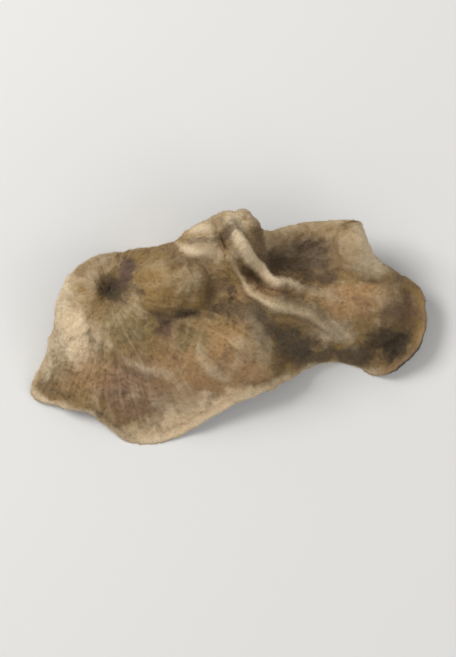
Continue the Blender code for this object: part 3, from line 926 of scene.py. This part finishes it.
PATCHES = [  # centre, size, colour and strength
    ((-7.2, 4.6), (3.8, 3.4), GOLDEN, 0.9),  # dome
    ((-10.4, 0.2), (3.4, 2.4), OLIVE, 0.6),  # below the pit
    ((-14.4, -2.2), (2.6, 3.6), CREAM, 0.5),  # between the shoulder and the cheek
    ((-14.2, -4.6), (3.2, 3.0), ORANGE, 0.7),
    ((-9.4, -6.4), (5.0, 4.0), ROSY, 0.7),  # lower left cheek
    ((-17.6, -4.6), (2.4, 2.2), UMBER, 0.5),  # left tip
    ((-16.6, -5.6), (1.2, 1.2), ORANGE, 0.5),
    ((-3.6, -6.0), (5.6, 2.2), ORANGE, 0.8),  # between the cheek and the facet
    # the pale lower rim is partly paler felt and partly a painted highlight
    ((-8.4, -10.8), (3.2, 1.8), STRAW, 0.8),  # lower rim
    ((-5.2, -9.6), (3.6, 2.0), STRAW, 0.9),
    ((-2.0, -8.2), (3.4, 1.8), STRAW, 0.9),
    ((1.2, -6.6), (3.0, 1.4), STRAW, 0.8),
    ((-5.0, -7.4), (4.0, 1.6), CREAM, 0.3),
    ((-2.6, -2.8), (5.6, 3.8), ORANGE, 0.7),  # flat facet
    ((-1.9, -3.9), (1.1, 1.0), CREAM, 0.3),
    ((1.0, -3.4), (1.2, 1.4), CREAM, 0.45),
    ((1.6, -4.6), (2.6, 2.0), ORANGE, 0.9),
    ((-4.2, -1.4), (2.6, 1.8), OLIVE, 0.7),
    ((-1.6, 10.0), (4.4, 3.0), CREAM, 0.2),  # ripples at the top
    ((-4.4, 7.0), (2.8, 1.4), UMBER, 0.5),
    ((-2.6, 8.8), (2.2, 0.6), UMBER, 0.7),
    ((0.6, 10.4), (1.2, 1.6), CREAM, 0.7),
    # painted shade on the lobe behind the upper line
    ((2.8, 9.4), (1.0, 2.2), UMBER, 0.6),  # behind the upper line
    # painted light: an orange fill that lifts the shade in the groove of the crest
    ((3.4, 3.8), (3.4, 1.2), ORANGE, 0.8),  # groove of the crest
    # painted shade in the pocket of the wing and at its foot
    ((6.8, 7.2), (5.4, 3.0), POCKET_SHADE, 0.8),  # pocket of the wing
    ((9.8, 4.9), (2.4, 1.1), UMBER, 0.7),
    # painted highlight on the raised rim of the wing
    ((14.0, 9.2), (1.6, 2.4), CREAM, 0.8),  # wing
    ((14.4, 6.9), (2.2, 2.0), CREAM, 0.6),
    ((11.8, 2.8), (4.0, 2.4), ORANGE, 0.9),
    ((13.4, 3.3), (2.6, 1.8), ORANGE, 0.8),
    ((10.7, -0.4), (2.6, 1.6), CREAM, 0.8),  # end of the lower line
    # painted highlight on the rolled left rim, partly paler felt
    ((-17.6, 3.2), (2.4, 3.8), CREAM, 0.9),  # left shoulder
    ((-16.6, -0.9), (1.8, 2.7), CREAM, 0.9),
    ((-18.8, -2.6), (1.4, 3.6), CREAM, 0.7),
    ((-15.5, -1.4), (1.3, 3.4), STRAW, 0.7),
]
# mostly painted shade, in the pit, the hollows and on the slopes that face away from the key lamp,
# with a golden tone and a few dark spots
TONES_AND_PAINTED_SHADE = [  # the same for places that the wear doesn't reach
    ((-7.4, 4.4), (3.4, 3.0), GOLDEN, 0.5),  # dome
    # painted shade in the pit of the attachment
    ((-11.7, 3.9), (2.3, 2.2), PITCH, 0.8),  # pit of the attachment
    ((-10.4, 5.7), (1.4, 1.9), WINE, 0.8),
    # painted shade in the hollow under the crest
    ((-4.4, 1.3), (5.0, 1.1), DUSK, 0.6),  # hollow under the crest
    ((-6.8, 0.2), (1.2, 1.8), WINE, 0.6),
    ((1.8, 1.5), (2.2, 1.3), DUSK, 0.5),
    # painted shade on the slopes right of the facet and below the crest, which face away from the
    # lamp
    ((3.2, 0.2), (1.6, 2.0), DUSK, 0.6),  # right of the facet
    ((4.9, -3.0), (1.1, 2.6), UMBER, 0.5),
    ((6.0, -1.2), (3.0, 2.0), DUSK, 0.8),  # slope below the crest
    ((8.8, -2.8), (3.4, 1.6), DUSK, 0.7),
    ((12.6, -3.2), (2.8, 1.5), DUSK, 0.7),
    # painted shade at the foot of the wing's pocket
    ((9.2, 4.9), (2.4, 1.0), UMBER, 0.6),  # foot of the wing's pocket
    # painted shade at the right end, partly the dark flesh showing through
    ((17.6, 2.0), (2.6, 2.2), WINE, 0.6),  # right end
    ((16.8, -1.6), (4.2, 2.2), PITCH, 0.8),
    ((-0.4, 8.9), (0.8, 1.2), UMBER, 0.8),  # dark spots
    ((0.3, 3.8), (0.5, 0.5), UMBER, 0.9),
    ((-9.4, 3.4), (0.6, 0.5), UMBER, 0.7),
    ((-13.6, -8.6), (0.7, 0.7), UMBER, 0.9),
]

BROAD_STRAY = (0.45, 3.0)  # clouds to a millimetre, and how far they move a patch's edge
FINE_STRAY = (1.7, 1.2)
PATCH_FADES = (1.15, 0.45)  # where a patch ends and where it is full, as shares of its size

felt = Finish("felt")
place = fact(felt, "plan", "Vector")
broadly = cloud(felt, place, BROAD_STRAY[0], 4.0, "Color") - 0.5
finely = cloud(felt, place, FINE_STRAY[0], 4.0, "Color") - 0.5
strayed = place + broadly * BROAD_STRAY[1] + finely * FINE_STRAY[1]


def patched(colour, patches):
    """The colour of the felt with patches drawn over it."""
    for centre, size, tone, strength in patches:
        reach = length(felt, (strayed - (*centre, 0.0)) / (*size, 1.0))
        colour = mix(felt, step(felt, reach, *PATCH_FADES) * strength, colour, tone)
    return colour


golden = step(felt, cloud(felt, place, 0.28), 0.35, 0.65)
colour = mix(felt, golden, TAN, GOLDEN)
colour = patched(colour, PATCHES)
print("the felt has", len(PATCHES), "patches under its streaks")

# %% [markdown]
# The felt: streaks
#
# On top of the patches lie the marks of drying. The felt is mottled, and streaks run out from
# the attachment along the wrinkles. They are noise that is read by the direction from there. It
# changes quickly from one direction to the next and slowly along each of them.

# %% Mottle and streaks
STREAKS = (13.0, 0.22)  # how quickly they change round the attachment, and along their length
FINE_STREAKS = (40.0, 0.5)
STREAK_STRAY = 0.8  # how far they stray from straight lines, in millimetres

mottle = cloud(felt, place, 0.55, 5.0)
colour = mix(felt, step(felt, mottle, 0.54, 0.72) * 0.25, colour, CREAM)
colour = mix(felt, step(felt, mottle, 0.46, 0.3) * 0.4, colour, UMBER)
wander = cloud(felt, place, 0.9, 2.0, "Color") - 0.5
from_pit = place + wander * STREAK_STRAY - (*ATTACHMENT, 0.0)
far = length(felt, from_pit)
around = felt.node("VectorMath", {"operation": "NORMALIZE"}, {0: from_pit})
streaks = cloud(felt, around * STREAKS[0] + far * (0.0, 0.0, STREAKS[1]), 1.0, 4.0)
fine_streaks = around * FINE_STREAKS[0] + far * (0.0, 0.0, FINE_STREAKS[1])
fine_streaks = cloud(felt, fine_streaks, 1.0, 2.0)
near_pit = step(felt, far, 14.0, 4.0) * 0.8 + 0.2
colour = mix(felt, step(felt, streaks, 0.55, 0.8) * near_pit * 0.3, colour, UMBER)
colour = mix(felt, step(felt, streaks, 0.45, 0.25) * near_pit * 0.1, colour, CREAM)
colour = mix(felt, step(felt, fine_streaks, 0.5, 0.75) * near_pit * 0.25, colour, UMBER)
print("with its streaks the felt has", len(felt.tree.nodes), "nodes")

# %% [markdown]
# The felt: wear and painted shade
#
# Ridges are rubbed pale, and hollows are painted darker, as painted shade. The mesh carries how
# high each point stands over its surroundings, so both follow the real wrinkles. The two lines of
# the crest are the palest of all, partly from wear and partly as a painted highlight, each with a
# flank of painted shade. Then the painted shade of the pit, the hollows and the slopes that face
# away from the key lamp is drawn over the wear, together with a golden tone and a few dark spots.

# %% Ridges, hollows and dark places
bulge_here = fact(felt, "bulge")
colour = mix(felt, step(felt, bulge_here, 0.06, 0.4) * 0.35, colour, CREAM)
# painted shade: hollows are darker, less so near the margin
hollow_shade_share = step(felt, fact(felt, "inward"), 0.6, 3.0) * 0.5
colour = mix(felt, step(felt, bulge_here, -0.02, -0.35) * hollow_shade_share, colour, UMBER)
crest_here = fact(felt, "crest")
# painted shade on both flanks of the crest lines
painted_flank_shade = step(felt, crest_here, 0.12, 0.4) * step(felt, crest_here, 0.75, 0.5)
colour = mix(felt, painted_flank_shade * 0.35, colour, UMBER)
# the tops of the folds are paler, partly from wear and partly as a painted highlight
worn = step(felt, cloud(felt, place, 1.6, 4.0), 0.2, 0.5)
on_folds = step(felt, fact(felt, "wear_and_highlight"), 0.08, 0.5) * worn
colour = mix(felt, on_folds * 0.85, colour, CREAM)
colour = patched(colour, TONES_AND_PAINTED_SHADE)
print("the wear is followed by", len(TONES_AND_PAINTED_SHADE), "dark places")

# %% [markdown]
# The felt: the margin
#
# Most of the margin is a thin cream line, where the felt has come off the edge. Noise makes the
# line ragged and breaks it up. It is weaker at the top, and thin and rosy at the right end.

# %% Line along the margin
RIM_LINE = (1.5, 0.4)  # where it ends and where it is full, in millimetres from the margin
RIGHT_END = (15.0, 18.5)  # where along the ear the right end begins, and where it is complete
TOP = (6.5, 9.0)  # the same across the ear for the top

ragged = (cloud(felt, place, 0.8, 4.0) - 0.5) * 1.0 + (cloud(felt, place, 0.22) - 0.5) * 1.8
right_end = step(felt, felt.node("SeparateXYZ", {}, {0: place}, "X"), *RIGHT_END)
top = step(felt, felt.node("SeparateXYZ", {}, {0: place}, "Y"), *TOP)
rim_line = step(felt, fact(felt, "inward") + ragged + right_end * 0.6, *RIM_LINE)
broken = step(felt, cloud(felt, place, 0.4, 4.0), 0.6, 0.4) * 0.5 + 0.5
rim_line = rim_line * broken * (0.9 - right_end * 0.5 - top * 0.45)
colour = mix(felt, rim_line, colour, mix(felt, right_end, CREAM, ROSY))
print("the line is about", RIM_LINE[0], "mm wide")

# %% [markdown]
# The felt: the hairs
#
# The hairs that were grown above stand on a mat of finer ones, a tenth of a millimetre long and
# far too many to model. Their grain goes into the colour, the roughness and a bump. Such hairs
# catch light that grazes the surface, as velvet does, and the shader's sheen gives exactly that.

# %% Grain, roughness and bump of the felt
GRAIN_HEIGHT = 0.00009  # in metres

grain = cloud(felt, place, 5.0, 4.0)
nap = cloud(felt, place, 11.0, 3.0)
specks = step(felt, cloud(felt, place, 3.1, 1.0), 0.7, 0.78)
colour = mix(felt, specks * 0.3, colour, DUSK)
colour = colour * (0.6 + grain * 0.4 + nap * 0.36 + fact(felt, "paleness"))
height = grain * 0.6 + nap * 0.5 + streaks * 0.5 + fine_streaks * 0.6
bump = felt.node("Bump", {}, {"Strength": 0.6, "Distance": GRAIN_HEIGHT, "Height": height})
felt.fill(
    felt.shader,
    {
        "Base Color": colour,
        "Roughness": 0.8 + grain * 0.15,
        "Normal": bump,
        "Sheen Weight": 0.25,
        "Sheen Roughness": 0.45,
        "Sheen Tint": CREAM,
        "Specular IOR Level": 0.25,
    },
)
mesh.materials.append(felt.material)
hair_mesh.materials.append(felt.material)
print("the felt is made of", len(felt.tree.nodes), "nodes")

# %% [markdown]
# The spore face
#
# The lower side bears the spores. Fresh it is smooth and wet, and it dries to a hard skin that is
# nearly black, with a dull shine, fine creases and a greyish bloom of spores here and there.

# %% Finish of the spore face
BLACK_BROWN = paint(44, 37, 33)
DRY_BROWN = paint(72, 60, 50)
BLOOM = paint(112, 104, 95)
CREASES = 1.3  # fine creases to a millimetre
CREASE_DEPTH = 0.00008  # in metres

spore_face = Finish("spore_face")
place = fact(spore_face, "plan", "Vector")
dried_brown = step(spore_face, cloud(spore_face, place, 0.3), 0.4, 0.65)
colour = mix(spore_face, dried_brown, BLACK_BROWN, DRY_BROWN)
dusty = step(spore_face, cloud(spore_face, place, 0.7, 6.0), 0.52, 0.72)
colour = mix(spore_face, dusty * 0.5, colour, BLOOM)
worn = step(spore_face, fact(spore_face, "inward"), 0.9, 0.1)
colour = mix(spore_face, worn * 0.5, colour, DRY_BROWN)
cells = {"Vector": place, "Scale": CREASES}
creases = spore_face.node("TexVoronoi", {"feature": "DISTANCE_TO_EDGE"}, cells)
creases = step(spore_face, creases, 0.0, 0.12)
pores = cloud(spore_face, place, 6.0, 4.0)
height = creases * 0.7 + pores * 0.5
bump = {"Strength": 0.5, "Distance": CREASE_DEPTH, "Height": height}
bump = spore_face.node("Bump", {}, bump)
spore_face.fill(
    spore_face.shader,
    {
        "Base Color": colour * (0.8 + pores * 0.4),
        "Roughness": 0.42 + dusty * 0.3 + pores * 0.12,
        "Normal": bump,
        "Specular IOR Level": 0.4,
    },
)
mesh.materials.append(spore_face.material)
mesh.polygons.foreach_set("material_index", side)
mesh.update()
print("the spore face is made of", len(spore_face.tree.nodes), "nodes")

# %% [markdown]
# The studio
#
# The ear lies on a plain pale floor. Its relief is low, so the main light comes in low from the
# upper left and rakes across the folds. A large weak light from the other side and a pale sky
# keep the shadows open.

# %% Floor and lights
HALF_FLOOR = 1.5  # half the width of the floor, in metres
SKY_LIGHT = 0.42

floor_finish = Finish("pale_floor")
floor_finish.fill(floor_finish.shader, {"Base Color": paint(226, 225, 222), "Roughness": 0.9})
floor_mesh = bpy.data.meshes.new("floor")
ways = [(-1, -1), (1, -1), (1, 1), (-1, 1)]
floor_mesh.from_pydata([(HALF_FLOOR * x, HALF_FLOOR * y, 0) for x, y in ways], [], [(0, 1, 2, 3)])
floor_mesh.materials.append(floor_finish.material)
ground = linked("floor", floor_mesh)

AIM = Vector((0.0, 0.0, 0.004))  # the middle of the ear, at which the lamps shine


def lamp(name, place, size, power):
    """A square lamp that shines at the ear, with its place and size in metres."""
    light = bpy.data.lights.new(name, "AREA")
    light.size = size
    light.energy = power
    made = linked(name, light)
    made.location = place
    made.rotation_euler = (AIM - Vector(place)).to_track_quat("-Z", "Y").to_euler()


lamp("key", (-0.22, 0.14, 0.27), 0.16, 1.02)
lamp("fill", (0.30, -0.20, 0.24), 0.30, 0.42)
sky = bpy.data.worlds.new("sky")
sky.use_nodes = True
sky.node_tree.nodes["Background"].inputs["Color"].default_value = (1.0, 1.0, 1.0, 1.0)
sky.node_tree.nodes["Background"].inputs["Strength"].default_value = SKY_LIGHT
bpy.context.scene.world = sky
bpy.context.scene.view_settings.view_transform = "Standard"
print("two lamps and a pale sky")

# %% [markdown]
# The camera
#
# The ear is seen square from above, with its length across the picture. A long lens from a
# little way off keeps the raised folds from looking larger than the rest.

# %% Camera
PICTURE = (456, 657)  # width and height in pixels
ROOM = 1.13  # width of the view for each ear's length
LONG_LENS = 150  # focal length in millimetres
NEAREST = 0.005  # what is nearer isn't seen, in metres

camera = bpy.data.cameras.new("camera")
camera.lens = LONG_LENS
camera.clip_start = NEAREST
seen = ROOM * (solid_high.x - solid_low.x) * PICTURE[1] / PICTURE[0]
far_off = seen * camera.lens / camera.sensor_width
eye = linked("camera", camera)
eye.location = (0.0, 0.0, solid_high.z / 2 + far_off)
bpy.context.scene.camera = eye
print("the camera is", round(far_off, 3), "m above the ear")
